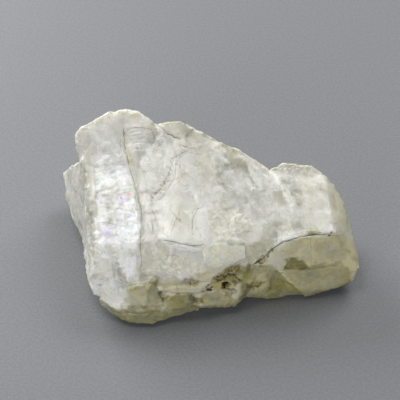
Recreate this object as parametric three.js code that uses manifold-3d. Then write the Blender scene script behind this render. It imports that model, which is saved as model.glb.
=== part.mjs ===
// A rough piece of petalite, 63 mm long, lying on the flat of its broken underside.
// Millimetres, +Z up, +X along the length, the origin in the middle of the base.
// The stone is one solid. It is described by the cleavage blocks that make it up: each block is the
// convex solid that its corners span, the blocks are joined, and the chips that broke out are cut away.
import * as THREE from "three";
import { ConvexGeometry } from "three/addons/geometries/ConvexGeometry.js";
import { mergeVertices } from "three/addons/utils/BufferGeometryUtils.js";
import Module from "manifold-3d";

const wasm = await Module();
wasm.setup();

const LENGTH = 63; // along X
const DEPTH = 41.5; // along Y, front to back
const HEIGHT = 28; // along Z, from the base to the crest
const COLOUR = 0xd8d6c9; // milky white with a faint warm grey cast
const ROUGHNESS = 0.45;
const WELD = 1e-4; // corners closer than this are one corner

// Corners as [x, y, z], with the crest over x = -17 and the front towards -Y.
const BLOCKS = {
  // The tall back left end.
  crest: [
    [-17.5, 14.5, 28], [-14.5, 14, 27.5], [-12.5, 13, 26.5], [-21.5, 13.5, 27.5],
    [-26.5, 11.5, 25.5], [-28, 10.5, 24.5], [-28, 8.5, 22], [-27.4, 7.2, 18.5],
    [-24.7, 2.9, 20.8], [-15, 0, 19.8], [-9, 8, 22.5],
    [-27, 17, 15], [-20, 20, 16], [-13, 18.5, 15], [-24, 18, 3], [-12, 17, 2.5],
    [-26, 4, 3], [-22, 12, 0], [-12, 13, 0], [-21, 4, 0], [-12, 4, 0],
  ],
  // The long cleavage face that slopes from the crest to the front left corner.
  strip: [
    [-26.6, 5.6, 21.8], [-24.7, 2.9, 20.8], [-23.5, -3.1, 18.4], [-23.2, -12.2, 14.6], [-24.4, -16.3, 11],
    [-14, 7, 22.6], [-13, 0, 19.8], [-12, -12.6, 16], [-13, -17.2, 10.6], [-17.5, -18.5, 10],
    [-27.5, 2, 5], [-26.8, -5, 4.2], [-25.7, -9.6, 4], [-25.3, -13.7, 4.2], [-24, -15.5, 2.5],
    [-13, -17, 2], [-21, -13, 0], [-21, 8, 0], [-12, -14, 0], [-12, 8, 0],
  ],
  // The lobe in which that face ends.
  foot: [
    [-24.1, -15.5, 6.5], [-21.2, -17.5, 3.9], [-19.3, -19, 2.6], [-17.5, -19.3, 4.2],
    [-24.4, -16.3, 10.8], [-21, -17.8, 10.2], [-18.3, -18.3, 9], [-20, -14, 11], [-17, -14, 9], [-20, -14, 2],
  ],
  // The broad upper face, its steeper band and the front below it.
  middle: [
    [-14, 12.3, 25.2], [-6.5, 13, 25.5], [-4.3, 12, 25], [1.3, 9.4, 23], [8.4, 6.4, 21.2], [12.2, 4.8, 18.8],
    [-16, -12.6, 15.8], [-7.5, -13, 16], [-1.5, -13.3, 15.5], [7, -12.4, 15.2], [14.4, -11, 15],
    [18, -5, 15.8], [-14, -16.8, 10.5], [-2.5, -17.2, 11], [6.3, -15.5, 10.1],
    [-12, -18, 3], [-2.5, -18, 2], [4.9, -17.3, 1.7], [5.7, -15.5, 1.6],
    [-12, -12, 0], [10, -11, 0], [11, 6, 0], [-12, 12, 0],
    [-13, 17.5, 14], [-9, 18, 14], [2, 16, 13], [13, 10.5, 12], [-12, 16, 2.5], [14, 9, 2.5],
  ],
  // The lower right end, flat on top, with an upright front.
  toe: [
    [12.3, 4.6, 19.2], [15, 5.4, 20.5], [20.2, 5.1, 20.5], [24.1, 3.3, 19], [27.2, -0.4, 16], [28.2, -3, 14.2],
    [14.3, 2.6, 18.8], [18.2, -0.7, 17.2], [14.4, -11.9, 15.2], [18, -11.4, 15.8], [25, -9.8, 15.4],
    [11.8, -12.8, 13.6], [10.2, -14, 11.6], [8, -14.4, 9.5], [6.5, -14.6, 1.3], [11.8, -14.4, 0.4], [19.9, -13.8, 0.8],
    [28.6, -11.8, 1.5], [30.2, -11.4, 3.5], [30.8, -10.5, 7], [29.5, -6, 11], [30, -2, 4], [28, 4, 2.5],
    [12, -9, 0], [22, -9, 0], [22, 3, 0], [13, 5, 0],
    [14, 10, 12], [24, 8.5, 10], [13, 9, 2], [23, 7, 2],
  ],
  // A slab left standing on the outside of the left end.
  wing: [
    [-28.7, 8.4, 17], [-27.5, 7.5, 19], [-32.2, 15.3, 8.3], [-30.8, 8.5, 6.5], [-29.6, 4.2, 5],
    [-27.4, -0.3, 4.5], [-25.5, -3, 12], [-24, 10, 18], [-24, 16, 12], [-30, 14, 4],
    [-22, 14, 2.5], [-22, -8, 2.5], [-28, 2, 3.2],
  ],
  // The lowest layer, which sticks out under the front left corner.
  ledge: [
    [-23, -17.8, 3.2], [-19.4, -20.1, 1.5], [-16, -21.5, 1.1], [-12, -21.5, 0.9], [-7.3, -19.6, 1.7],
    [-2.5, -18.4, 2.2], [-19.1, -19.8, 4], [-16.6, -20.4, 3.9], [-13.2, -20.4, 4.1], [-9.9, -19.2, 4.7],
    [-22.5, -15, 5], [-20, -16, 0], [-12, -17, 0], [-3, -14, 0], [-8, -12, 5], [-20, -12, 5],
  ],
  // The bevelled block above that layer.
  heel: [
    [-17.1, -19, 8.6], [-15.1, -19.3, 10.1], [-12.5, -19.6, 10.4], [-11.4, -18.3, 10],
    [-9.9, -18.9, 5.1], [-13.2, -20.3, 4.7], [-14.7, -20, 3.8], [-16.7, -19.4, 4.1], [-17.2, -19.2, 6.3],
    [-17, -15, 9], [-11, -15, 11], [-9.5, -15, 5], [-17, -15, 4],
  ],
  // The lump to the right of the bevelled block.
  lump: [
    [-9.5, -19, 5.3], [-8, -19.1, 6.9], [-6.9, -19, 7.6], [-5, -18.9, 7.5], [-3.7, -18.9, 4.7],
    [-4.4, -19.1, 3.2], [-9.6, -19.5, 3.6], [-9, -15, 6], [-4, -15, 6], [-9, -15, 3], [-4, -15, 3],
  ],
  // Two thin steps that run under the band, one over the other.
  upperStep: [
    [-13.9, -16.6, 11.5], [-6, -16.6, 11.8], [-12.4, -17.8, 9], [-5.4, -17.9, 9.2],
    [-13.5, -14, 11], [-5, -14, 11], [-12, -14, 8], [-5, -14, 8],
  ],
  lowerStep: [
    [-11.3, -18.2, 8.8], [-10.5, -18.9, 8.3], [-1.5, -18.4, 8.3], [0, -17.4, 9], [-9.5, -18.8, 6.6], [-1.5, -18.5, 6.8],
    [-10, -14, 9], [0, -14, 9], [-10, -14, 6], [0, -14, 6],
  ],
};

// Chips broken out of the blocks.
const CHIPS = {
  stainedHollow: [
    [1, -20, 10.5], [6, -19, 11.5], [7, -18, 7], [2, -20, 5.5], [3.5, -14.6, 9.5], [5.5, -14.6, 8.5],
  ],
  frontUndercut: [
    [13.1, -13.7, 9.4], [20.2, -13.6, 0.2], [11.6, -14.2, 2], [15.5, -12.6, 2.6],
    [13.1, -19, 11], [21, -19, 1], [12, -19, -1], [16, -15, -2],
  ],
};

function solidOf(geometry) {
  geometry.deleteAttribute("normal");
  geometry.deleteAttribute("uv");
  const merged = mergeVertices(geometry, WELD);
  return new wasm.Manifold(
    new wasm.Mesh({
      numProp: 3,
      vertProperties: merged.attributes.position.array,
      triVerts: new Uint32Array(merged.index.array),
    }),
  );
}

function blockOf(corners) {
  return solidOf(new ConvexGeometry(corners.map((corner) => new THREE.Vector3(...corner))));
}

function geometryOf(solid) {
  const { numProp, vertProperties, triVerts } = solid.getMesh();
  const positions = new Float32Array((vertProperties.length / numProp) * 3);
  for (let i = 0; i < positions.length / 3; i++) {
    positions.set(vertProperties.subarray(i * numProp, i * numProp + 3), i * 3);
  }
  const geometry = new THREE.BufferGeometry();
  geometry.setAttribute("position", new THREE.BufferAttribute(positions, 3));
  geometry.setIndex(new THREE.BufferAttribute(triVerts, 1));
  return geometry;
}

// Gives the stone its overall size and puts the origin in the middle of its base.
function fitToSize(geometry) {
  geometry.computeBoundingBox();
  const { min } = geometry.boundingBox;
  const size = geometry.boundingBox.getSize(new THREE.Vector3());
  geometry.translate(-min.x - size.x / 2, -min.y - size.y / 2, -min.z);
  geometry.scale(LENGTH / size.x, DEPTH / size.y, HEIGHT / size.z);
  return geometry;
}

const joined = Object.values(BLOCKS).map(blockOf).reduce((stone, block) => stone.add(block));
const chipped = Object.values(CHIPS).map(blockOf).reduce((stone, chip) => stone.subtract(chip), joined);

const stone = new THREE.Mesh(
  fitToSize(geometryOf(chipped)).toNonIndexed(),
  new THREE.MeshStandardMaterial({ color: COLOUR, roughness: ROUGHNESS, metalness: 0, flatShading: true }),
);
stone.geometry.computeVertexNormals();
stone.name = "petalite_stone";

const specimen = new THREE.Group();
specimen.add(stone);
export default specimen;
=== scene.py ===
"""The looks of a rough piece of petalite: its broken surface, its milky stone and a plain studio.

The stone's surface starts as an even skin over the CAD solid. Relief is then added to it, first what any
broken petalite has (plates, facets, layers and grain), then this piece's own marks: cracks, steps, a
broken vein, ripples and a stained hollow. Lengths are in millimetres until the mesh is handed to Blender.
"""
import itertools
import math

import bpy
import numpy as np
from mathutils import Matrix, Vector


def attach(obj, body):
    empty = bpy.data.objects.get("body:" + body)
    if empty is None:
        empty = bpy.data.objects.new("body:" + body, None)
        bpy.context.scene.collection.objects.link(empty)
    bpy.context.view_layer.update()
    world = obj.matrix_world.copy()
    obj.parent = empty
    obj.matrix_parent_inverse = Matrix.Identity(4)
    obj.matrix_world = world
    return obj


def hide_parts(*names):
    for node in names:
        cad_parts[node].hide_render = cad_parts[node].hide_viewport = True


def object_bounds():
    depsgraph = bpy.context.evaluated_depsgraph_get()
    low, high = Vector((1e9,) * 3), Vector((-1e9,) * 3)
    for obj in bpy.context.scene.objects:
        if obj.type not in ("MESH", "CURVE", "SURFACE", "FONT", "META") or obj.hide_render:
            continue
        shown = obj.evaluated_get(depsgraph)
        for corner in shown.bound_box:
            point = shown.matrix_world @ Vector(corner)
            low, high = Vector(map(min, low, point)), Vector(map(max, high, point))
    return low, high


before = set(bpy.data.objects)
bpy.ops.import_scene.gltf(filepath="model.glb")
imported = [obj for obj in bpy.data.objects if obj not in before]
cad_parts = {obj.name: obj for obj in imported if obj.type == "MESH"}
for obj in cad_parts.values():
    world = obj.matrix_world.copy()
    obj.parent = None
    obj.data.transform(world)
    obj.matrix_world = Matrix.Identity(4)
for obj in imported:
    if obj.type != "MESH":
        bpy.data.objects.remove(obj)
cad_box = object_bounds()

NODE = "petalite_stone"
MM = 0.001
SKIN_VOXEL = 0.18
MOST_TRIANGLES = 195_000
SHARP_ANGLE = 38.0

# The two sets of cleavage planes, and the direction from which the marks are drawn: 45 degrees above
# the front. A drawn place is (across, up) in millimetres on a plane that faces that direction.
CLEAVAGE = np.array([0.05, -0.37, 0.93])
CROSS_CLEAVAGE = np.array([0.94, 0.12, 0.31])
DRAWN_FROM = np.array([0.0, -math.sqrt(0.5), math.sqrt(0.5)])


# ---------------------------------------------------------------- numbers

def smoothstep(low, high, value):
    t = np.clip((value - low) / (high - low), 0, 1)
    return t * t * (3 - 2 * t)


def hashed(cell, seed):
    """A repeatable random number from 0 to 1 for each whole-number cell."""
    x, y, z = (cell[:, axis].astype(np.uint32) for axis in range(3))
    h = x * np.uint32(0x8DA6B343) ^ y * np.uint32(0xD8163841) ^ z * np.uint32(0xCB1AB31F)
    h ^= np.uint32(seed * 0x9E3779B9 & 0xFFFFFFFF)
    h ^= h >> np.uint32(15)
    h *= np.uint32(0x2C1B3C6D)
    h ^= h >> np.uint32(12)
    h *= np.uint32(0x297A2D39)
    h ^= h >> np.uint32(15)
    return h.astype(np.float32) / np.float32(2**32)


def noise(points, size, seed):
    """Smooth noise from about -1 to 1 with features of the given size."""
    scaled = points / size + 100.0
    base = np.floor(scaled).astype(np.int64)
    part = (scaled - base).astype(np.float32)
    ease = part**3 * (part * (part * 6 - 15) + 10)
    total = np.zeros(len(points), np.float32)
    for corner in itertools.product((0, 1), repeat=3):
        cell = base + np.array(corner)
        weight = np.prod(np.where(corner, ease, 1 - ease), axis=1)
        slope = sum((hashed(cell, seed * 3 + k) * 2 - 1) * (part[:, k] - corner[k]) for k in range(3))
        total += weight * slope
    return total * 1.7


def rough_noise(points, size, seed, octaves=3):
    """Noise with finer noise on it, each octave half the size and height of the one before."""
    return sum(noise(points, size / 2**i, seed + i) / 2**i for i in range(octaves))


def crystal_axes():
    """The directions across the strips, along them, and square to the main cleavage, as rows."""
    up = CLEAVAGE / np.linalg.norm(CLEAVAGE)
    across = CROSS_CLEAVAGE - (CROSS_CLEAVAGE @ up) * up
    across /= np.linalg.norm(across)
    return np.stack([across, np.cross(up, across), up])


def scattered(points, size, seed, blocky):
    """The two nearest of a scatter of points, one to a cell of the given size.

    Returns two (distance, offset, chance) sets, nearest first, with distances in cells. Where blocky, the
    regions around the points are blocks that lie along the crystal's axes."""
    place = points @ crystal_axes().T if blocky else points
    scaled = (place / size + 100.0).astype(np.float32)
    base = np.floor(scaled).astype(np.int64)
    count = len(points)
    best = [(np.full(count, 9e9, np.float32), np.zeros((count, 3), np.float32), np.zeros(count, np.float32))
            for _ in range(2)]
    for step in itertools.product((-1, 0, 1), repeat=3):
        cell = base + np.array(step)
        seat = cell + np.stack([hashed(cell, seed * 5 + k) for k in range(3)], axis=1)
        offset = (scaled - seat).astype(np.float32)
        distance = np.abs(offset).max(axis=1) if blocky else np.sqrt((offset**2).sum(axis=1))
        chance = hashed(cell, seed * 5 + 3)
        nearer = distance < best[0][0]
        second = ~nearer & (distance < best[1][0])
        for old, new in zip(best[1], best[0]):
            old[nearer] = new[nearer]
        for old, new in zip(best[0], (distance, offset, chance)):
            old[nearer] = new[nearer]
        for old, new in zip(best[1], (distance, offset, chance)):
            old[second] = new[second]
    return best


def facets(points, size, tilt, step, seed, blocky=False, seam=0.10):
    """A surface broken into flat pieces, each with a tilt and a height of its own."""
    size = np.asarray(size, np.float32)
    near, next_near = scattered(points, size, seed, blocky)

    def height(found):
        _, offset, chance = found
        turn = chance * 2 * math.pi * 7
        lean = np.stack([np.cos(turn), np.sin(turn), np.cos(turn * 1.7 + 1)], axis=1)
        return tilt * (offset * size * lean).sum(axis=1) + step * (chance * 2 - 1)

    first, second = height(near), height(next_near)
    share = smoothstep(0, seam, next_near[0] - near[0])
    return (first + second) / 2 + (first - second) / 2 * share


# ---------------------------------------------------------------- drawn marks

def drawn(points):
    """Where points lie on the drawing plane."""
    return np.stack([points[:, 0], (points[:, 1] + points[:, 2]) * math.sqrt(0.5)], axis=1)


def path_distance(places, path):
    """Distance to a drawn line, how far along it the nearest point is (0 to 1), and the side."""
    path = np.asarray(path, np.float32)
    lengths = np.linalg.norm(np.diff(path, axis=0), axis=1)
    starts = np.concatenate([[0], np.cumsum(lengths)])
    nearest = np.full(len(places), 9e9, np.float32)
    along = np.zeros(len(places), np.float32)
    side = np.ones(len(places), np.float32)
    for start, end, length, travelled in zip(path, path[1:], lengths, starts):
        run = (end - start) / length
        t = np.clip((places - start) @ run, 0, length)
        away = places - start - t[:, None] * run
        distance = np.linalg.norm(away, axis=1)
        closer = distance < nearest
        nearest[closer] = distance[closer]
        along[closer] = (travelled + t[closer]) / starts[-1]
        side[closer] = np.sign(run[0] * away[closer, 1] - run[1] * away[closer, 0])
    return nearest, along, side


def within(places, outline, soft):
    """1 inside a drawn outline, 0 outside, with a border of the given softness."""
    corners = np.asarray(outline, np.float32)
    near = ((places > corners.min(axis=0) - soft) & (places < corners.max(axis=0) + soft)).all(axis=1)
    share = np.zeros(len(places), np.float32)
    x, y = places[near].T
    closed = [*outline, outline[0]]
    nearest, _, _ = path_distance(places[near], closed)
    inside = np.zeros(len(x), bool)
    for (x0, y0), (x1, y1) in zip(closed, closed[1:]):
        crosses = (y0 > y) != (y1 > y)
        inside ^= crosses & (x < (x1 - x0) * (y - y0) / (y1 - y0 + 1e-12) + x0)
    share[near] = smoothstep(-soft, soft, np.where(inside, nearest, -nearest))
    return share


def spot(places, centre, radii, turn=0.0):
    """1 at the middle of an ellipse, falling to 0 at its rim. turn is in degrees."""
    c, s = math.cos(math.radians(turn)), math.sin(math.radians(turn))
    away = places - np.array(centre)
    across = (away[:, 0] * c + away[:, 1] * s) / radii[0]
    up = (-away[:, 0] * s + away[:, 1] * c) / radii[1]
    return 1 - smoothstep(0.35, 1.0, np.sqrt(across**2 + up**2))


def patch(*outline, soft=0.4, height=0.0, rough=0.0, warm=0.0, grey=0.0, white=0.0):
    """A drawn area. It may stand out or be sunk (mm), be rough, and be warmer, clearer or whiter stone; on
    some areas these shares are painted shade and painted highlights.
    """
    return {"outline": outline, "soft": soft,
            "height": height, "rough": rough, "warm": warm, "grey": grey, "white": white}


def arc(centre, radius, start, end, steps=6):
    """A drawn stretch of a circle, from one angle to another in degrees."""
    angles = np.radians(np.linspace(start, end, steps))
    return [(centre[0] + radius * math.cos(angle), centre[1] + radius * math.sin(angle)) for angle in angles]


def rungs(path, spacing, half_length):
    """Short drawn lines that cross a path at even steps, like the rungs of a ladder."""
    found = []
    for start, end in zip(np.array(path), np.array(path[1:])):
        length = np.linalg.norm(end - start)
        run = (end - start) / length
        across = np.array([-run[1], run[0]]) * half_length
        for travelled in np.arange(spacing / 2, length, spacing):
            middle = start + run * travelled
            found.append([tuple(middle - across), tuple(middle + across)])
    return found


# This piece's own areas, as outlines on the drawing plane. soft and height are in millimetres, the rest are
# shares. Where areas overlap their shares add up, so a negative one takes back part of what it lies in.
LEFT_PATCHES = {
    # Painted shade: the left side face is greyer.
    "wing_painted_shade": patch(
        (-30.5, 17.5), (-27, 19.5), (-25.5, 18.5), (-25, 13.5), (-23.5, 8.5), (-23, 0), (-29, 2), (-31, 12),
        soft=0.5, grey=0.62),
    "wing_crumbs": patch(
        (-26.2, 9), (-25, 10), (-23.6, 4), (-23.6, -1), (-24.8, 1), (-25.6, 5), rough=0.5, white=0.35),
    "margin": patch(
        (-25.5, 19), (-22.9, 19), (-22.4, 11.5), (-22, 4), (-22.8, -2), (-24.5, 1), (-25.5, 6), (-26, 11.5),
        grey=0.36),
    "strip": patch(
        (-23.5, 19.5), (-20, 21.5), (-18, 21.5), (-16.5, 17.5), (-15, 12), (-14.2, 8), (-13.8, 2),
        (-13.8, -3), (-15.6, -5.5), (-16.4, -9.2), (-18.3, -10.4), (-20, -10.1), (-22.4, -8.8),
        (-24.4, -6.2), (-24, -2), (-23, 2), (-23, 12), soft=0.3, grey=0.12),
    "crest": patch(
        (-27.5, 25), (-23, 30), (-17.5, 30), (-17, 22), (-20, 21.5), (-24, 19.5), (-26.5, 20.5), soft=0.9,
        grey=0.36),
    "crest_top": patch((-17.0, 29.4), (-13.8, 29.8), (-12.3, 28.5), (-16.3, 28.8), warm=0.12, grey=0.5),
    "crest_cloud_a": patch((-25, 26.5), (-21.5, 27), (-21, 25), (-24, 24), soft=0.7, white=0.35),
    "crest_cloud_b": patch((-23, 24.5), (-19.5, 25.5), (-18.5, 22.5), (-22, 22), soft=0.7, white=0.35),
    "crest_rim": patch(
        (-17.5, 27), (-15.5, 28.2), (-13.5, 28), (-13.5, 26.7), (-16, 26), soft=0.25, white=0.4),
    "strip_top": patch((-23.6, 20), (-18, 22), (-16.2, 18), (-16, 15), (-23.3, 14.5), soft=1.6, white=0.35),
    "strip_upper": patch(
        (-23.2, 16.5), (-18.8, 17.5), (-18.2, 11), (-19, 9.5), (-22.8, 10), soft=0.5, grey=0.22),
    # The three flakes below are slightly raised, and painted white as glints.
    "flake_a": patch(
        (-23.1, 19), (-21.4, 20.3), (-20.8, 19.9), (-22.4, 18.4), soft=0.12, height=0.05, white=0.5),
    "flake_b": patch(
        (-23.3, 13.4), (-21.8, 14.9), (-19.3, 15.7), (-19.1, 14.9), (-21.6, 13.8), (-22.9, 12.8), soft=0.12,
        height=0.05, white=0.55),
    "flake_c": patch(
        (-18.9, 17.6), (-17.3, 16.6), (-16.2, 13.4), (-17, 13.6), (-18.6, 16), soft=0.15, height=0.04,
        white=0.5),
    # Painted highlight: the middle of the pearly strip is whiter.
    "strip_painted_highlight": patch(
        (-19.8, 10.2), (-15.2, 11), (-14.2, 6), (-14, 1.5), (-18, 1), (-20.5, 3), soft=0.8, white=0.6),
    "strip_low": patch((-22.8, 1), (-17.6, 0.8), (-17.4, -4.6), (-23.2, -4.4), grey=0.12),
    # Painted light: the down-turned foot of the strip is whiter.
    "strip_foot_painted_light": patch(
        (-24.3, -5.6), (-22.4, -5), (-18.4, -6.6), (-16.6, -6.6), (-16.4, -9), (-18.3, -10.4), (-20, -10.1),
        (-22.4, -8.8), (-24, -7), warm=0.12, white=0.8),
    "foot_glint": patch(
        (-20.6, -4.6), (-18.4, -4.4), (-18, -6.4), (-20, -6.8), soft=0.3, rough=0.3, white=0.6),
    "strip_grey": patch(
        (-20.7, 10.3), (-19.1, 10.7), (-18.6, 6.9), (-20, 5.7), soft=0.3, height=-0.05, grey=0.5),
    # The column, middle piece, streaks and tiles below are slightly raised, and painted white as glints.
    "strip_column": patch(
        (-22.8, 11.3), (-20.9, 10.7), (-20.6, 5.3), (-20.7, 1.2), (-22.3, 2.2), (-22.9, 6.9), soft=0.15,
        height=0.05, white=0.45),
    "strip_middle": patch(
        (-19.2, 6.8), (-17, 6.8), (-16.9, 3.2), (-18.9, 3), soft=0.12, height=0.05, white=0.45),
    **{f"streak_{k}": patch(
        (-23.4 + 0.3 * k, 3.4 - 1.0 * k), (-20.6 + 0.3 * k, 2.0 - 1.0 * k),
        (-20.7 + 0.3 * k, 1.5 - 1.0 * k), (-23.4 + 0.3 * k, 2.9 - 1.0 * k),
        soft=0.1, height=0.05, white=0.55) for k in range(3)},
    "tile_a": patch(
        (-18.4, 8.9), (-14.5, 8.5), (-14.3, 6.7), (-18.2, 7.1), soft=0.12, height=0.05, white=0.25),
    "tile_b": patch(
        (-16.7, 6.4), (-14.1, 6.4), (-14, 3.4), (-16.5, 3.4), soft=0.12, height=0.05, white=0.6),
    "tile_c": patch(
        (-17.1, 3.1), (-14, 3.1), (-14.2, 1.3), (-16.8, 1.3), soft=0.12, height=0.03, white=0.5),
    "tile_d": patch(
        (-17, -0.4), (-14.4, -0.3), (-14.2, -4.8), (-16.2, -4.6), soft=0.12, height=0.05, white=0.55),
    "foot_hollow": patch(
        (-19.5, -1.2), (-18.1, -0.3), (-17.5, -2.1), (-16.6, -4.4), (-15.2, -6.1), (-18.1, -6.8),
        (-19.1, -3.7), soft=0.2, height=-0.12, grey=0.6),
    "wedge": patch((-17, 21.9), (-16.1, 21.7), (-15.2, 18.8), (-16.1, 17.5), soft=0.2, warm=0.3, grey=0.2),
    "beside_crack": patch(
        (-16, 18), (-14.6, 17), (-12.7, 8.3), (-13.4, 3), (-14, 8), (-15.4, 13.4), soft=0.3, warm=0.05,
        grey=0.42),
}

MIDDLE_PATCHES = {
    "ripples": patch(
        (-16.8, 25.9), (-15.6, 26.4), (-11.7, 25.9), (-11, 23), (-12.5, 21.6), (-16.6, 21.4), soft=0.2,
        height=-0.1, warm=0.06, white=0.25),
    "cloud_a": patch((-14, 17), (-11.5, 17), (-11.2, 13.5), (-13.2, 13), soft=0.8, white=0.12),
    "cloud_b": patch((-10.5, 22), (-7.5, 22), (-7.5, 19.5), (-10, 19), soft=0.7, white=0.12),
    "cloud_c": patch((-4.5, 14), (-1, 12.5), (1.5, 10.5), (-0.5, 9), (-3, 10.5), soft=1, white=0.3),
    "fleck_a": patch(
        (-5.8, 16), (-4.2, 14.5), (-2.5, 11.8), (-3.7, 12.2), (-5.2, 13.8), rough=0.6, white=0.5),
    "beside_vein": patch(
        (-14.6, 24.6), (-13.5, 24.4), (-8, 25.5), (-6.5, 21.7), (-9.6, 15.5), (-12.3, 12.4), (-14.6, 17.4),
        soft=0.7, grey=0.45),
    "olive_top": patch(
        (-4.5, 26), (-0.5, 25.8), (1.2, 22.8), (-2.5, 21.3), (-5, 22.5), soft=0.6, warm=0.1, grey=0.6),
    "olive_edge": patch(
        (2, 23.6), (4.6, 22.4), (7, 20), (10.4, 17.4), (9.5, 16.4), (6.8, 17.6), (5.3, 18), (3.4, 20.4),
        warm=0.22, grey=0.5),
    "back_rim": patch(
        (-0.6, 26), (3, 24), (6.2, 21.8), (5.8, 20.8), (2.6, 22.8), (-0.8, 24.6), soft=0.3, warm=0.1,
        grey=0.7),
    "upper_middle": patch(
        (-12, 28), (-9.5, 26.6), (-7, 23.8), (-8, 22.2), (-11, 22.2), soft=0.6, grey=0.25),
    "upper_block": patch(
        (-11.5, 28.8), (-7, 28.6), (-2.5, 26.6), (-4.6, 23.4), (-7, 24.2), soft=0.3, height=0.05, warm=0.1,
        grey=0.7),
    "olive_plane": patch(
        (-3, 21.3), (-0.5, 21.7), (1, 19), (1.2, 16), (-1, 14), (-2.5, 17), height=-0.05, warm=0.14,
        grey=0.15),
    "dim_a": patch((-0.5, 21.7), (0.8, 22.1), (1, 20), (0, 19.2), soft=0.3, warm=0.05, grey=0.4),
    "dim_b": patch((1.4, 19.6), (3.3, 20), (4.1, 18), (2.8, 15.9), (1.4, 16.3), warm=0.05, grey=0.4),
    "dim_c": patch((2.8, 13), (5.5, 13), (5.8, 9.5), (3, 9.5), soft=0.7, grey=0.4),
    "dim_d": patch((0.5, 21.5), (4.5, 21), (5, 18), (2, 18.2), soft=0.5, grey=0.35),
    "plate": patch(
        (-10.6, 10.8), (-8.2, 12.2), (-5.8, 12.4), (-3.3, 10.7), (-2.2, 9.6), (-3, 7.5), (-3.3, 4.9),
        (-2.5, 2.4), (-5.7, 2.9), (-10.2, 3.5), (-10.2, 6.9), soft=0.2, height=0.03, warm=0.1, white=0.42),
    "plate_dim": patch((-10.8, 13.5), (-7.6, 13), (-7, 9), (-8, 3.5), (-10.6, 3.2), soft=0.6, grey=0.3),
    "round_plate": patch(
        (-0.3, 9.9), (-1.9, 9.7), (-2.9, 7.7), (-3.2, 4.9), (-2.5, 3.2), (0, 3.2), (0.4, 6.5), soft=0.2,
        height=0.02, warm=0.05, white=0.4),
    "crumbs": patch(
        (0, 9), (3.4, 10.5), (7.5, 9), (9.7, 6), (8.4, 4), (3.4, 3.7), (0.3, 5), soft=0.6, rough=0.5,
        warm=0.12, white=0.15),
    "glassy": patch(
        (3, 18), (5, 19), (8.7, 18.6), (11, 14.5), (13.2, 10.5), (12, 7), (9, 6.5), (6.5, 8.9), (4.5, 12),
        (1.5, 14), soft=1, height=-0.23, grey=0.36),
}

RIGHT_PATCHES = {
    "edge_white": patch(
        (6, 21.2), (8.4, 20.6), (11, 19.2), (12, 17.4), (10.3, 17.6), (7.6, 19.4), white=0.15),
    "pane_streak": patch(
        (8.1, 18.4), (8.9, 19), (11.6, 13.8), (10.8, 13.2), soft=0.12, height=0.05, white=0.4),
    "ridge_light": patch((13.2, 17.2), (13.9, 17.2), (17.4, 10.1), (16.8, 9.9), soft=0.1, white=0.5),
    "right_top": patch(
        (12.8, 17), (15.5, 20.3), (19, 20.8), (24, 18.4), (22, 16), (17.5, 16.6), soft=0.5, grey=0.75),
    "right_grey": patch(
        (13, 15), (18.5, 15.5), (20, 11), (19, 5.5), (14, 5), (12.5, 10), soft=0.9, grey=0.32),
    "crumb_spot": patch(
        (15.1, 16.1), (17.2, 16.1), (17.4, 14.7), (15.4, 14.7), soft=0.3, rough=0.3, grey=0.45, white=-0.1),
    "window_a": patch((13.5, 13.2), (16.1, 13.2), (16.9, 10), (14.2, 10.1), soft=0.2, warm=0.12, grey=0.35),
    "window_b": patch((16.8, 13.4), (19.4, 13), (19.3, 10.5), (17.8, 10.5), soft=0.2, warm=0.15, grey=0.5),
    "bright_side": patch(
        (15, 16.2), (17.3, 16.5), (19, 13.8), (18.2, 13), (16.2, 13.8), soft=0.35, grey=0.15),
    "creamy": patch(
        (18, 18.5), (23, 17.5), (26, 15), (28, 11.5), (28.8, 8.5), (26.5, 5.6), (21.5, 6), (18.8, 10),
        soft=0.8, warm=0.1, white=0.1),
    # Painted light: whiter where the face tilts down.
    "cream_low_painted_light": patch((22, 9), (27.5, 9.5), (28.5, 5.2), (24, 4.8), (21.5, 6.5), soft=0.6, white=0.3),
    "cream_rim": patch(
        (19, 19), (22.5, 18.6), (26, 16.5), (28.5, 11.8), (25, 13.4), (21.4, 15.9), soft=0.6, warm=0.08,
        white=0.2),
    "right_face": patch((26.2, 14), (28.5, 11), (29.5, 4.6), (26.4, 4.6), (25.6, 9), warm=0.25, grey=0.15),
    "shelf": patch((11, 6.5), (18.6, 7.3), (20, 5.4), (14.5, 3.8), (10.8, 3), soft=0.5, warm=0.1, grey=0.5),
    "olive_spot": patch((19.4, 5.3), (21.5, 6), (23.3, 4.8), (21, 4.2), soft=0.25, warm=0.5, grey=0.95),
    "corner": patch(
        (28, 8.5), (29.8, 8), (31, -1), (32, -7), (29.6, -7), (28.8, -1), (28.3, 4.5), soft=0.3, warm=0.18,
        white=0.1),
}

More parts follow.
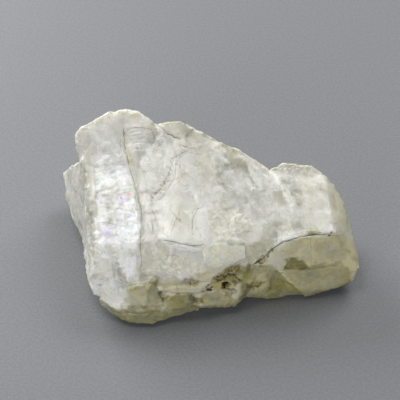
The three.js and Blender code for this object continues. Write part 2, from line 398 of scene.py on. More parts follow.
FRONT_PATCHES = {
    # Painted shade: the lower front is yellower and darker.
    "lower_front_painted_shade": patch(
        (-16, -6.2), (-10.5, -5), (-4, -5.2), (0, -2.6), (8, -2.8), (12.5, 1), (20, 4), (27, 4.4), (31, 3),
        (33, -8), (20, -12), (-2, -14), (-20, -16), (-23, -12), (-20, -11.4), (-16.4, -11), soft=0.5,
        warm=0.34),
    "band_grey": patch(
        (-13.3, 2.2), (-8, 2.4), (-7.7, 0.3), (-1, -1), (-0.3, -3.4), (-3, -4.8), (-6.4, -3.4),
        (-13.3, -2.8), soft=0.3, rough=0.3, warm=0.2, white=0.4),
    "sill_edge": patch(
        (-8.2, 2.5), (-3.7, 1.9), (-1, 1.4), (-1.4, 0.8), (-4.4, 1.1), (-7.5, 1.5), soft=0.1, height=0.12,
        white=0.7),
    "tick": patch((-7.7, 1.4), (-6.9, 1.4), (-7.4, -1.1), (-7.9, -0.9), soft=0.12, height=0.1, white=0.7),
    "pink_block": patch(
        (-0.7, 1.8), (2.3, 2.2), (7.4, 2), (7.9, -0.6), (5.4, -1.6), (1.3, -2.4), (-1, -1.4), soft=0.2,
        height=0.15, rough=0.3, warm=0.28, white=0.85),
    "grey_top": patch(
        (1.3, 3.2), (4.6, 3.4), (7.6, 2.7), (7.5, 1.9), (2.3, 2.1), soft=0.15, height=0.07, warm=0.12,
        grey=0.35),
    "streaked": patch(
        (7.7, 2), (13.5, 3), (11.8, 0.9), (7.8, -2.5), soft=0.3, height=-0.11, warm=0.35, grey=0.15),
    "sill": patch(
        (-13.4, -3.4), (-12.1, -3), (-10, -4), (-6.9, -4.2), (-5.6, -5), (-5.8, -6.5), (-10, -6.4),
        (-11, -5.9), (-12.5, -6.2), (-14.2, -5), soft=0.12, height=0.12, warm=0.2, grey=0.55, white=-0.2),
    "sill_crumbs": patch(
        (-10, -1.9), (-7, -1.7), (-5, -3.4), (-5.6, -4.4), (-7.5, -3.6), (-10, -3.2), soft=0.25, rough=0.3,
        white=0.45),
    "stained_ground": patch(
        (0.3, -5.6), (2.5, -3.4), (5, -2), (8, -1.9), (9.4, -3), (8.3, -4.8), (6, -5.8), (5, -7), (2, -7.4),
        soft=0.5, warm=0.45, grey=0.6),
    "sill_lip": patch(
        (-10.3, -6), (-7.8, -6.7), (-3.8, -6.4), (-3.2, -7.4), (-6.4, -7.4), (-9.9, -7.2), soft=0.15,
        height=0.15, rough=0.15, warm=0.15, white=0.1),
    "heel": patch(
        (-17.1, -8.6), (-16.4, -6.4), (-14.4, -5.9), (-10.8, -5.3), (-10, -7.2), (-9.3, -9.2),
        (-12.2, -10.6), (-15.3, -10.8), soft=0.35, height=0.08, warm=0.14, grey=0.45),
    "heel_cap": patch(
        (-16.6, -7.1), (-15.2, -5.5), (-12.7, -4.2), (-11, -4.2), (-10.4, -6.1), (-13.1, -6.5),
        (-15.4, -7.1), soft=0.2, warm=0.1, grey=0.1),
    # Painted shade: the heel's side face is a little greyer.
    "heel_side_painted_shade": patch(
        (-12.3, -7.3), (-11.6, -6.3), (-10.8, -5.9), (-9.5, -9.6), (-9.8, -10.4), (-12.3, -10.2), soft=0.2,
        warm=0.1, grey=0.1),
    # Painted shade under the heel: greyer and warmer.
    "heel_foot_painted_shade": patch(
        (-16.6, -10.4), (-9, -10), (-9, -11.5), (-16.6, -11.9), soft=0.2, warm=0.14, grey=0.8),
    "foot_rim": patch(
        (-20.1, -9.7), (-18, -10.4), (-16.2, -10.5), (-16.4, -11.4), (-18.4, -11.2), soft=0.12, height=0.19,
        rough=0.15, warm=0.12, white=0.35),
    # Rough lumps at the foot, painted greyer and warmer as shade.
    "foot_lumps_painted_shade": patch(
        (-23, -8.6), (-20.4, -10), (-20.4, -10.8), (-22, -11.4), (-23.4, -10), soft=0.2, rough=0.25,
        warm=0.15, grey=1.1),
    # A raised rough lump, painted greyer and warmer as shade under the ledges.
    "lump_painted_shade": patch(
        (-9.3, -8.6), (-6.4, -7.8), (-3.4, -8.2), (-3.1, -9.8), (-5.1, -11), (-8.2, -11.2), (-9.4, -10.4),
        soft=0.2, height=0.11, rough=0.12, warm=0.48, grey=0.95),
    # A raised rough fringe along the bottom, painted greyer and warmer as shade under the ledges.
    "fringe_painted_shade": patch(
        (-22, -10.2), (-15.6, -11.3), (-9.7, -11.3), (-3.7, -10.5), (1, -10.3), (5, -10.2), (4, -13),
        (-11, -16), (-20, -15), soft=0.15, height=0.11, rough=0.2, warm=0.34, grey=1.35),
    # A sunken notch, painted darker as its shadow.
    "notch_painted_shadow": patch(
        (-3, -8.3), (-1, -8.8), (-1, -10), (-2.7, -10.2), soft=0.15, height=-0.3, warm=0.5, grey=0.8),
    "low_lumps": patch(
        (-1, -7.8), (1, -7.2), (4.4, -7.9), (5.8, -9), (5.8, -11), (1, -11), (-1.7, -9.9), soft=0.25,
        height=0.19, rough=0.25, warm=0.32, grey=0.8),
    "mass": patch(
        (7.8, -2.6), (12.5, -1.8), (15, -3.4), (20, -8.6), (13, -12), (6, -11), (6.5, -8), soft=0.25,
        warm=0.4, grey=0.8),
    "mass_light": patch(
        (8, -5), (12, -4), (13, -6), (11, -7.8), (8.5, -7.8), soft=0.3, height=0.15, white=0.25),
    # A sunken face turned down, painted warmer and greyer as shade.
    "undercut_painted_shade": patch(
        (14.9, -3.5), (17.2, -5.8), (20, -8.8), (13, -12), (12.2, -9.2), (13, -6), soft=0.2, height=-0.22,
        warm=0.45, grey=0.3),
    "toe": patch(
        (12.5, 0.8), (15.9, 2.6), (20.2, 3.9), (26.4, 4.2), (28.3, 4.5), (29.4, -1.4), (30.5, -8),
        (28, -10), (20, -9.5), (17.2, -5.5), (14.8, -3.1), soft=0.25, warm=0.2, grey=0.12, white=0.1),
    "toe_low": patch(
        (15, -2.9), (21, -2.8), (25, -2.2), (29.4, -2.6), (31, -9), (20, -10), (17.2, -5.5), soft=0.3,
        warm=0.08, grey=0.55, white=-0.3),
    "toe_left": patch((12.5, 0.8), (15.9, 2.6), (17, -0.5), (15, -2.8), (12, -1.5), warm=-0.15, white=0.1),
    "toe_grey": patch((21.5, 3.6), (26.5, 3.8), (28.2, 3.6), (28.6, -1), (22, -1), soft=0.5, grey=0.2),
    "toe_shade_a": patch(
        (16.2, -1), (18.3, -0.6), (20.2, -1.8), (21, -2.8), (17.8, -3.1), (16, -2.8), height=-0.45,
        warm=0.6, grey=1.4, white=-0.4),
    "toe_shade_b": patch(
        (21, -2), (27.5, -1.5), (28, -2.2), (21, -2.9), soft=0.25, height=-0.15, warm=0.2, grey=0.5,
        white=-0.3),
    "toe_edge": patch(
        (14.7, -2.9), (17.3, -5.1), (19.8, -8.2), (19.3, -8.5), (17, -5.7), (14.4, -3.2), soft=0.1,
        height=0.11, white=0.2),
}
PATCHES = {**LEFT_PATCHES, **MIDDLE_PATCHES, **RIGHT_PATCHES, **FRONT_PATCHES}
TONES = ("height", "rough", "warm", "grey", "white")

RIPPLE_CENTRE = (-13.6, 15.6)
FAN_CENTRE = (-2.0, 30.0)  # where the glassy hollow's ribs meet
HOLE = (4.0, -6.1)  # the pit under the darkest stain
HEEL_SEAM = (-17.4, -8.9)
LONG_CRACK = [
    (-17.5, 26.3), (-17.3, 23.8), (-17, 21.3), (-16.2, 18.2), (-15, 14.4), (-14.1, 11.3), (-13.4, 8.5),
    (-13.6, 5.7), (-13.6, 2.3), (-13.4, -1.2), (-13.8, -4.8),
]
RIDGE = [(13.3, 17.2), (14.8, 15.3), (16.8, 13), (18.3, 10.5)]
VEIN = [
    (-2.5, 22.3), (-4.4, 21.3), (-6.9, 20), (-7.6, 18), (-8.3, 15.9), (-9.7, 13.4), (-11.5, 11.7),
    (-11.3, 9.3), (-10.5, 7.7), (-11.2, 5.7), (-11.3, 4),
]
FRONT_CRACK = [(26.1, 4.4), (20.2, 4.1), (15.8, 2.9), (13.1, 1.4), (11.5, -0.6), (10.1, -1.6), (8.5, -2.7)]
CRACKS = [  # path, groove depth, darkness
    (LONG_CRACK[:4], 0.08, 1.0),
    (LONG_CRACK[3:8], 0.03, 0.60),
    (LONG_CRACK[7:], 0.03, 0.50),
    ([(-12.1, 29.3), (-10.4, 27.1), (-8.8, 25.3), (-6.9, 24.2), (-5.2, 23.6)], 0.12, 1.0),
    ([(-17.3, 25.2), (-16, 26.3), (-13.6, 26.4), (-11.6, 25.9), (-11, 23.6), (-12.2, 21.8)], 0.04, 0.55),
    *((arc(RIPPLE_CENTRE, radius, 66, 108), 0.02, 0.25) for radius in (7.7, 8.5, 9.3, 10.1)),
    *((rung, 0.02, 0.35) for rung in rungs(VEIN[1:7], 0.85, 0.75)),
    (VEIN[:7], 0.03, 0.60),
    (VEIN[6:], 0.02, 0.40),
    ([(-5.2, 20.7), (-6.6, 18.6), (-6.6, 16.3), (-7.8, 13.8), (-9.3, 11.8), (-11.1, 10.7)], 0.02, 0.40),
    ([(-4, 22), (-5.5, 22.6), (-6.5, 22.4)], 0.05, 0.5),
    ([(-4.2, 21.2), (-2, 20.6), (-0.5, 21)], 0.04, 0.35),
    ([(-5.6, 10.5), (-5.8, 8.5), (-6.6, 6.9), (-7.4, 4.5)], 0.02, 0.45),
    ([(-0.5, 9.9), (-2.1, 9.5), (-3.1, 7.1), (-3.1, 3.8)], 0.02, 0.50),
    ([(-10.4, 3), (-7.7, 3), (-5.1, 2.4), (-2.5, 1.9), (-0.5, 2.5)], 0.07, 0.9),
    ([(-20.8, -10), (-19.5, -11.3), (-18.1, -11.8), (-16.2, -11.7), (-14.2, -11.9),
      (-12.1, -11.7)], 0.08, 0.7),
    (FRONT_CRACK, 0.40, 1.2),
    ([(-23.6, 19), (-23.4, 15.5), (-23, 11.3), (-22.6, 6.3)], 0.05, 0.12),
    ([(-20.5, 9.3), (-18, 9.5), (-14.7, 8.6)], 0.04, 0.30),
    ([(-22.7, 6.7), (-20, 6.5), (-16.9, 5.8)], 0.04, 0.35),
    ([(7.6, 2.1), (7.9, -0.6), (5.4, -1.7)], 0.09, 0.5),
    # A real groove under the sill's lip, whose dark line is also a painted shadow under the lip.
    ([(-10, -7.4), (-6.4, -7.6), (-3.1, -7.7)], 0.18, 0.8),
    ([(-10.7, -5.2), (-10, -7.2), (-9.2, -9.3)], 0.15, 0.7),
    ([(-16.3, -6.2), (-14.4, -5.7), (-10.8, -5.2)], 0.09, 0.4),
    ([(21, 3.6), (21.2, 0.5), (21.6, -2)], 0.05, 0.30),
    ([(15.5, -2.9), (20.9, -3), (25, -2.2), (29, -2.7)], 0.06, 0.35),
]


def along_surface(points, amount, size, seed, jag=1.1):
    """The drawing plane's places, shifted smoothly and in small blocks, so that drawn marks look broken."""
    smooth = np.stack([rough_noise(points, size, seed, 2), rough_noise(points, size, seed + 9, 2)], axis=1)
    chance = block_chances(points, (1.1, 1.5, 1.0), seed)
    jagged = np.stack([chance, (chance * 7.3) % 1.0], axis=1) - 0.5
    return drawn(points) + amount * (smooth + jag * jagged)


def block_chances(points, size, seed):
    """A random number from 0 to 1 for the crystal-shaped block that each point is in."""
    return scattered(points, np.asarray(size, np.float32), seed, True)[0][2]


def zones(points, normals):
    """Where each drawn area lies, and what they add up to, as shares."""
    places = along_surface(points, 0.30, 1.5, 11)
    found = {
        "seen": smoothstep(-0.05, 0.25, normals @ DRAWN_FROM),
        "top": smoothstep(0.72, 0.92, normals @ CLEAVAGE),
        "near": smoothstep(-0.35, 0.10, normals @ DRAWN_FROM),
        # rim only places the painted shade at rims seen from the front.
        "rim": 1 - smoothstep(0.05, 0.55, normals @ DRAWN_FROM),
        "down": smoothstep(0.55, 0.85, -normals[:, 2]) * (1 - smoothstep(0.5, 1.2, points[:, 2])),
    }
    found.update({tone: np.zeros(len(points), np.float32) for tone in TONES})
    for name, area in PATCHES.items():
        found[name] = within(places, area["outline"], area["soft"]) * found["seen"]
        for tone in TONES:
            found[tone] += area[tone] * found[name]
    found["drawn"] = np.clip(sum(found[name] for name in PATCHES), 0, 1)
    return found


# ---------------------------------------------------------------- relief

def body_relief(points, zone):
    """Flat broken faces, blocks and layers on the sides. The cleavage faces on top are almost flat."""
    calm = np.clip(zone["top"] + 0.75 * zone["drawn"] + 0.2 * zone["toe"], 0, 1)
    stepped = smoothstep(-0.25, 0.45, noise(points, 9.0, 2))
    broken = facets(points, (6.0, 7.0, 3.6), 0.05, 0.20, 3, True, 0.09)
    broken += facets(points, 4.2, 0.12, 0.05, 13, False, 0.12)
    broken += (0.4 + 0.6 * stepped) * facets(points, (2.4, 2.9, 1.5), 0.08, 0.10, 4, True, 0.10)
    broken += (0.3 + 0.7 * stepped) * layers(points)
    flat = facets(points, (3.6, 5.2, 4.4), 0.014, 0.012, 6, True, 0.05)
    flat += facets(points, 4.6, 0.016, 0.01, 16, False, 0.06)
    flat += 0.20 * noise(points, 12.0, 5) + 0.02 * noise(points, 4.5, 15)
    broken = (broken + 0.35 * noise(points, 8.0, 1)) * (1 - 0.3 * zone["near"])
    return broken * (1 - calm) + flat * calm


def layers(points):
    """Thin slabs between cleavage planes, each standing out or back by its own amount."""
    relief = 0
    across, _, up = crystal_axes()
    slabs = [(up, 1.4, 0.13, 7), (up, 0.6, 0.05, 8), (across, 2.4, 0.07, 9)]
    for direction, thickness, amount, seed in slabs:
        depth = (points @ direction + 0.25 * noise(points, 6.0, seed + 40)) / thickness
        level = np.floor(depth)
        spread = points - np.outer(points @ direction, direction)

        def offset(index):
            return noise(spread + np.outer(index * 7.31, np.ones(3)), 4.0, seed + 50)

        blend = smoothstep(0.0, 0.12, depth - level)
        relief = relief + amount * (offset(level - 1) * (1 - blend) + offset(level) * blend)
    return relief


def grain(points, zone):
    """Fine roughness, strongest where the stone is crumbled, and small chips along the edges."""
    crumbs = facets(points, 0.9, 0.20, 0.05, 23)
    chips = facets(points, 1.5, 0.14, 0.07, 24) * zone["thin"]
    return 0.004 * noise(points, 0.8, 21) + crumbs * zone["rough"] + chips


def cracks(points, zone):
    """The piece's own cracks: their relief, a share that is 0.5 along each line, and how dark each is."""
    places = along_surface(points, 0.16, 0.9, 31, 0.4)
    groove_width = 0.18
    relief = 0
    nearest = np.full(len(points), 9.0, np.float32)
    offset = np.full(len(points), 1.0, np.float32)
    shade = np.zeros(len(points), np.float32)
    for path, depth, dark in CRACKS:
        distance, along, side = path_distance(places, path)
        ends = smoothstep(0, 0.08, along) * smoothstep(0, 0.08, 1 - along) * zone["seen"]
        relief = relief - depth * np.exp(-((distance / groove_width) ** 2)) * ends
        closer = (distance < nearest) & (distance < 0.9)
        nearest[closer] = distance[closer]
        offset[closer] = 0.5 + 0.5 * np.clip((distance * side)[closer], -1, 1)
        shade[closer] = (dark * ends)[closer]
    return relief, offset, shade


def own_marks(points, zone):
    """Raised and sunken places that only this piece has."""
    places = along_surface(points, 0.35, 1.6, 41, 0.5)
    distance, _, side = path_distance(places, LONG_CRACK)
    step = smoothstep(0, 0.3, distance) * (1 - smoothstep(1.5, 6.0, distance)) * side
    relief = zone["height"] - 0.06 * step * zone["seen"]
    distance, _, _ = path_distance(places, RIDGE)
    relief += 0.15 * np.exp(-((distance / 0.6) ** 2)) * zone["seen"]
    relief += vein(points, places) * zone["seen"]
    relief += ripples(points, places) * zone["ripples"]
    relief += strip_flakes(points, places) * zone["strip"]
    relief += hackles(points, places) * zone["glassy"]
    return relief + striations(places) * zone["toe"]


def vein(points, places):
    """A line of crumbled stone."""
    distance, _, _ = path_distance(places, VEIN[:8])
    crumbs = facets(points, 0.8, 0.12, 0.03, 43, False, 0.06)
    return np.exp(-((distance / 0.8) ** 2)) * crumbs


def ripples(points, places):
    """Curved ripple lines across the sunken patch."""
    radius = np.linalg.norm(places - np.array(RIPPLE_CENTRE), axis=1)
    strength = 0.5 + 0.5 * noise(points, 1.6, 44)
    return 0.028 * strength * np.sin(radius * 2 * math.pi / 0.8)


def strip_flakes(points, places):
    """Thin oblong flakes and cross ripples on the long pearly face."""
    flakes = facets(points, (1.9, 2.9, 3.0), 0.050, 0.035, 45, True, 0.05)
    flakes += facets(points, (1.3, 0.8, 2.0), 0.050, 0.012, 55, True, 0.05)
    wave = np.sin((places[:, 1] + 0.35 * noise(points, 3.0, 46)) * 2 * math.pi / 0.9)
    where = smoothstep(0.0, 0.5, noise(points, 3.5, 47))
    return flakes + 0.02 * wave * where


def fan(places):
    """Distance and angle (degrees) from the point that the glassy hollow's ribs fan out from."""
    away = places - np.array(FAN_CENTRE)
    return np.linalg.norm(away, axis=1), np.degrees(np.arctan2(away[:, 0], -away[:, 1]))


def hackles(points, places):
    """Faint feathered ribs that fan out over the glassy hollow."""
    _, angle = fan(places)
    ribs = np.sin(angle * 0.6 + 2.0 * noise(points, 4.0, 48))
    return 0.03 * ribs


def striations(places):
    """Fine level lines low on the toe's front face."""
    lines = noise(np.stack([places[:, 0] * 0.12, places[:, 1], places[:, 1]], axis=1), 0.55, 57)
    return 0.07 * lines * (1 - smoothstep(-3.5, -1.5, places[:, 1]))


STAINS = [  # centre, half width and height, turn in degrees, strength
    (HOLE, (1.2, 0.85), 0, 1.6),
    ((5.2, -3.2), (3.3, 1.9), 20, 0.60),
    ((2.8, -4.3), (2.6, 1.4), 20, 0.62),
    ((0.2, -7.0), (2.2, 0.7), 15, 0.95),
    ((1.7, -4.6), (1.4, 0.6), 5, 0.75),
    ((10.3, -1.7), (1.3, 0.7), -10, 0.66),
    ((9.6, -6.2), (3.2, 1.1), 10, 0.58),
    ((-9.5, -7.5), (0.7, 0.4), 10, 0.6),
    ((4.4, -7.4), (2.2, 1.2), 0, 0.50),
    ((-3.4, -5.5), (2.6, 1.3), 0, 0.48),
    ((25.3, 4.3), (0.7, 0.35), 0, 0.9),
    ((11.8, -0.2), (1.4, 0.5), 50, 0.58),
    ((6.0, -5.0), (1.8, 1.2), 0, 0.55),
]


def stain_cover(points, zone):
    """How stained each place is. The stain gathers in the hollows of the broken front."""
    places = along_surface(points, 0.5, 0.9, 51)
    cover = np.zeros(len(points), np.float32)
    for centre, radii, turn, strength in STAINS:
        cover = np.maximum(cover, strength * spot(places, centre, radii, turn))
    distance, _, _ = path_distance(places, FRONT_CRACK[3:])
    cover = np.maximum(cover, 0.50 * np.exp(-((distance / 0.55) ** 2)))
    return np.clip(cover, 0, 1) * zone["seen"]


def hollow(points, zone, stain):
    """The pitted, crumbling ground under the stains."""
    pits = facets(points, 0.95, 0.35, 0.16, 53)
    hole = spot(drawn(points), HOLE, (1.1, 0.85))
    return (-0.25 * stain + pits * stain - 1.3 * hole) * zone["seen"]


# ---------------------------------------------------------------- the stone's mesh

def skin(node, voxel):
    """An even closed mesh over a CAD node, as a new object."""
    piece = bpy.data.objects.new("petalite_surface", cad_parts[node].data.copy())
    bpy.context.scene.collection.objects.link(piece)
    remesh = piece.modifiers.new("skin", "REMESH")
    remesh.mode = "VOXEL"
    remesh.voxel_size = voxel * MM
    apply_modifiers(piece)
    return piece


def apply_modifiers(piece):
    shown = piece.evaluated_get(bpy.context.evaluated_depsgraph_get())
    mesh = bpy.data.meshes.new_from_object(shown)
    piece.modifiers.clear()
    old = piece.data
    piece.data = mesh
    bpy.data.meshes.remove(old)


def positions(mesh):
    found = np.zeros(len(mesh.vertices) * 3, np.float32)
    mesh.vertices.foreach_get("co", found)
    return found.reshape(-1, 3) / MM


def move_to(mesh, points):
    mesh.vertices.foreach_set("co", (points * MM).astype(np.float32).ravel())
    mesh.update()


def vertex_normals(mesh):
    found = np.zeros(len(mesh.vertices) * 3, np.float32)
    mesh.vertex_normals.foreach_get("vector", found)
    return found.reshape(-1, 3)


def relaxed(mesh, points, times):
    """The points after each has been drawn towards its neighbours that many times."""
    ends = np.zeros(len(mesh.edges) * 2, np.int32)
    mesh.edges.foreach_get("vertices", ends)
    ends = ends.reshape(-1, 2)
    here = np.concatenate([ends[:, 0], ends[:, 1]])
    there = np.concatenate([ends[:, 1], ends[:, 0]])
    degree = np.bincount(here, minlength=len(points))[:, None]
    moved = points.copy()
    for _ in range(times):
        total = np.stack([np.bincount(here, moved[there, k], len(points)) for k in range(3)], axis=1)
        moved = 0.4 * moved + 0.6 * total / degree
    return moved


def set_share(mesh, name, values):
    attribute = mesh.attributes.new(name, "FLOAT", "POINT")
    attribute.data.foreach_set("value", np.clip(values, 0, 1).astype(np.float32))


def fit_to_box(points, low, high):
    """Scales the points a little, if need be, so that they stay inside the box and stand on its floor."""
    spare = 0.02
    low, high = low + spare, high - spare
    low[2] = 0
    seen_low, seen_high = points.min(axis=0), points.max(axis=0)
    scale = np.minimum(1, (high - low) / (seen_high - seen_low))
    fitted = (points - seen_low) * scale
    size = (seen_high - seen_low) * scale
    start = np.clip(seen_low, low, high - size)
    start[2] = 0
    return fitted + start


def worn_edges(mesh, points):
    """Rounds the sharp edges of the CAD blocks by amounts that change along them."""
    soft = relaxed(mesh, points, 24)
    softer = relaxed(mesh, soft, 60)
    wear = 0.15 + 0.55 * smoothstep(-0.3, 0.6, noise(points, 3.0, 61))[:, None]
    chips = smoothstep(0.3, 0.8, noise(points, 2.2, 62))[:, None]
    worn = points + wear * (soft - points) + 0.8 * chips * (softer - soft)
    healed = spot(drawn(points), HEEL_SEAM, (2.4, 3.4))[:, None]
    return worn + healed * (relaxed(mesh, softer, 120) - worn)


def build_stone():
    stone = skin(NODE, SKIN_VOXEL)
    mesh = stone.data
    points = worn_edges(mesh, positions(mesh))
    move_to(mesh, relaxed(mesh, points, 6))
    normals = vertex_normals(mesh)
    zone = zones(points, normals)
    rounded = relaxed(mesh, points, 70)
    zone["thin"] = smoothstep(0.02, 0.22, ((points - rounded) * normals).sum(axis=1))
    stain = stain_cover(points, zone)
    crack_relief, crack_offset, crack_shade = cracks(points, zone)
    relief = body_relief(points, zone) + own_marks(points, zone) + grain(points, zone)
    relief += crack_relief + hollow(points, zone, stain)
    relief = np.where(zone["down"] > 0.5, np.minimum(relief, 0) * 0.3, relief) * (1 - 0.6 * zone["down"])
    shaped = points + normals * relief[:, None]
    low, high = (np.array(corner) / MM for corner in cad_box)
    move_to(mesh, fit_to_box(shaped, low, high))
    shares(mesh, points, zone, stain, crack_offset, crack_shade)
    thin = stone.modifiers.new("thin", "DECIMATE")
    thin.ratio = MOST_TRIANGLES / (2 * len(mesh.polygons))
    apply_modifiers(stone)
    stone.data.shade_smooth()
    stone.data.set_sharp_from_angle(angle=math.radians(SHARP_ANGLE))
    return stone


def shares(mesh, points, zone, stain, crack_offset, crack_shade):
    """Stores on the mesh how much of each kind of stone there is at each place, for the material, with
    painted shade, painted glints and painted iridescence among them.
    """
    hidden = 1 - zone["seen"]
    # low is painted shade towards the bottom: lower down, the hidden faces are warmer and less cloudy white.
    low = 1 - smoothstep(2.0, 16.0, points[:, 2])
    places = along_surface(points, 0.4, 1.6, 71)
    # Painted iridescence spots on the pearly strip.
    painted_iridescence = np.maximum.reduce([
        spot(places, (-16.9, 11.6), (1.6, 3.0), -25), 0.8 * spot(places, (-21.6, 10.6), (0.9, 0.9)),
        0.9 * spot(places, (-20.6, 4.8), (1.7, 1.2), -30), 0.6 * spot(places, (-16.4, 6.4), (1.1, 0.9)),
    ])
    uneven = 0.75 + 0.5 * block_chances(points, (1.6, 2.4, 1.4), 72)
    cloudy = smoothstep(0.0, 0.6, noise(points, 5.0, 74)) * (hidden * (1 - 0.7 * low) + 0.35 * zone["seen"])
    clear = smoothstep(-0.1, 0.6, noise(points, 7.0, 73)) * (hidden + 0.4 * zone["seen"])
    # Painted glints: whiter blocks in long and crossing flake shapes on the pearly strip.
    long_glint_flakes = smoothstep(0.55, 0.60, block_chances(points, (1.4, 3.6, 2.4), 76))
    cross_glint_flakes = smoothstep(0.68, 0.73, block_chances(points, (2.6, 0.5, 2.4), 75))
    painted_glint_flakes = np.maximum(0.55 * long_glint_flakes, 0.75 * cross_glint_flakes) * zone["strip"]
    vein_rough = 0.25 * np.exp(-((path_distance(places, VEIN[:8])[0] / 0.8) ** 2)) * zone["seen"]
    radius, angle = fan(places)
    streak = noise(np.stack([0.15 * radius, 0.35 * angle, 0 * angle], axis=1), 1.0, 58) * zone["glassy"]
    # base is painted shade near the floor: in the lowest 3.5 mm the stone is warmer, greyer and less white.
    base = 1 - smoothstep(0.5, 3.5, points[:, 2])
    # Painted shade at rims seen from the front and on thin edges: they are greyer, and thin edges are less
    # white.
    painted_rim_shade = np.maximum(zone["rim"], zone["thin"] * (1 - 0.7 * zone["strip"]))
    warm = zone["warm"] * (0.75 + 0.25 * uneven) + hidden * (0.14 + 0.20 * low) + 0.10 * base
    grey = (0.68 * zone["grey"] * uneven + 0.17 * clear + 0.30 * painted_rim_shade + 0.10 * hidden + 0.30 * base
            + 0.3 * np.maximum(-streak, 0))
    white = zone["white"] * uneven + 0.35 * cloudy + 0.70 * painted_glint_flakes + 0.4 * np.maximum(streak, 0)
    white = white * (1 - 0.6 * base) * (1 - 0.5 * zone["thin"])
    kinds = {
        "warm": warm,
        "grey": grey,
        "white": white,
        "stain": stain,
        "crack_offset": crack_offset,
        "crack_shade": crack_shade,
        "rough": zone["rough"] + vein_rough,
        "broken": zone["rough"] + 0.6 * (1 - zone["top"]) * hidden + 0.15 * (1 - zone["top"]),
        "pearl": zone["strip"],
        "painted_iridescence": painted_iridescence * zone["strip"],
    }
    for name, values in kinds.items():
        set_share(mesh, name, values)


# ---------------------------------------------------------------- material

class Shader:
    """Adds nodes to a material's tree. An input is a number, a colour or another node's output."""

    def __init__(self, name):
        self.material = bpy.data.materials.new(name)
        self.material.use_nodes = True
        self.tree = self.material.node_tree
        self.tree.nodes.clear()

    def node(self, kind, inputs=None, **settings):
        made = self.tree.nodes.new("ShaderNode" + kind)
        for key, value in settings.items():
            setattr(made, key, value)
        for key, value in (inputs or {}).items():
            self.put(made.inputs[key], value)
        return made

    def put(self, socket, value):
        if isinstance(value, bpy.types.NodeSocket):
            self.tree.links.new(value, socket)
        else:
            socket.default_value = value

    def share(self, name):
        return self.node("Attribute", attribute_name=name).outputs["Fac"]

    def ramp(self, value, low, high, to_low=0.0, to_high=1.0):
        made = self.node("MapRange", {"Value": value, "From Min": low, "From Max": high,
                                      "To Min": to_low, "To Max": to_high}, interpolation_type="SMOOTHSTEP")
        return made.outputs["Result"]

    def math(self, operation, first, second=0.0):
        made = self.node("Math", operation=operation)
        self.put(made.inputs[0], first)
        self.put(made.inputs[1], second)
        return made.outputs[0]

    def times(self, first, second):
        return self.math("MULTIPLY", first, second)

    def plus(self, first, second):
        return self.math("ADD", first, second)

    def minus(self, first, second):
        return self.math("SUBTRACT", first, second)

    def blend(self, factor, first, second, mode="MIX"):
        made = self.node("Mix", data_type="RGBA", blend_type=mode)
        self.put(made.inputs[0], factor)
        self.put(made.inputs[6], first)
        self.put(made.inputs[7], second)
        return made.outputs[2]

    def noise(self, where, size, detail=4.0, roughness=0.55):
        """Noise with features of a given size in millimetres, mostly between 0.3 and 0.7."""
        inputs = {"Vector": where, "Scale": 1 / (size * MM), "Detail": detail, "Roughness": roughness}
        return self.node("TexNoise", inputs).outputs["Fac"]

    def warped(self, where, amount, size):
        """Places pushed about by noise, so that straight patterns turn irregular. Both in millimetres."""
        inputs = {"Vector": where, "Scale": 1 / (size * MM), "Detail": 2.0}
        push = self.node("TexNoise", inputs).outputs["Color"]
        centred = self.node("VectorMath", operation="SUBTRACT")
        self.put(centred.inputs[0], push)
        centred.inputs[1].default_value = (0.5, 0.5, 0.5)
        inputs = {"Vector": centred.outputs[0], "Scale": amount * MM * 4}
        scaled = self.node("VectorMath", inputs, operation="SCALE")
        moved = self.node("VectorMath", operation="ADD")
        self.put(moved.inputs[0], where)
        self.put(moved.inputs[1], scaled.outputs[0])
        return moved.outputs[0]

    def crystal_places(self, where, size, shift=0.0):
        """Places measured along the crystal's axes, in blocks of the given size in millimetres."""
        turn = Matrix(crystal_axes().T.tolist()).to_euler()
        made = self.node("Mapping", {"Vector": where, "Rotation": turn, "Scale": Vector(size) * MM,
                                     "Location": (shift, shift, shift)}, vector_type="TEXTURE")
        return made.outputs["Vector"]

    def mosaic(self, where, size, shift=0.0):
        """A random number from 0 to 1 for each crystal-shaped block."""
        cells = self.node("TexVoronoi", {"Vector": self.crystal_places(where, size, shift), "Scale": 1.0},
                          feature="F1", distance="CHEBYCHEV")
        return self.node("SeparateColor", {"Color": cells.outputs["Color"]}).outputs["Red"]

    def seams(self, where, size, width, shift=0.0):
        """1 on thin lines between irregular blocks, 0 elsewhere. The width is a share of the block."""
        cells = self.node("TexVoronoi", {"Vector": self.crystal_places(where, size, shift), "Scale": 1.0},
                          feature="DISTANCE_TO_EDGE")
        return self.ramp(cells.outputs["Distance"], 0.0, width, 1.0, 0.0)


def colour(red, green, blue):
    """A colour given as it looks on screen (0 to 255), as the shader wants it."""
    return tuple(((c / 255 + 0.055) / 1.055) ** 2.4 for c in (red, green, blue)) + (1.0,)


